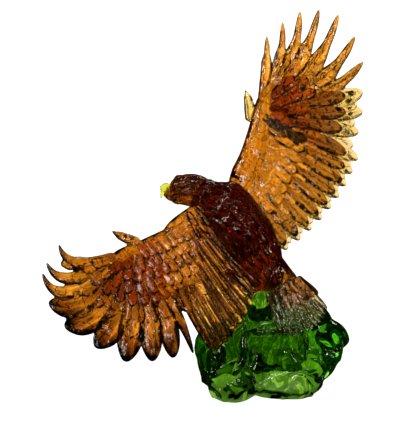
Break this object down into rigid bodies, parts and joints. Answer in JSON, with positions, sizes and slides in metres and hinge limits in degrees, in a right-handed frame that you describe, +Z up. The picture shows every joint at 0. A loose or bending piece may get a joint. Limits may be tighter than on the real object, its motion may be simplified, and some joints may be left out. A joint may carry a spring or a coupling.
{
  "type": "eagle sculpture",
  "caption": "Cast glass eagle banking with spread wings, amber body and wings, straw tail fan and yellow beak, bonded on a green glass rock.",
  "frame": {"origin": "On the flat underside of the rock, nearly below the seat that carries the bird", "axes": "+Z is up, out of the surface the rock stands on; +X is to the right of someone who looks along +Y at the bird's back; the head faces -X"},
  "size_m": [0.4227, 0.4022, 0.4713],
  "materials": {
    "amber_glass": "gloss",
    "straw_glass": "gloss",
    "yellow_glass": "gloss",
    "green_glass": "gloss"
  },
  "bodies": {
    "root": {"eagle": "amber_glass", "tail": "straw_glass", "beak": "yellow_glass", "rock_base": "green_glass"}
  },
  "joints": []
}
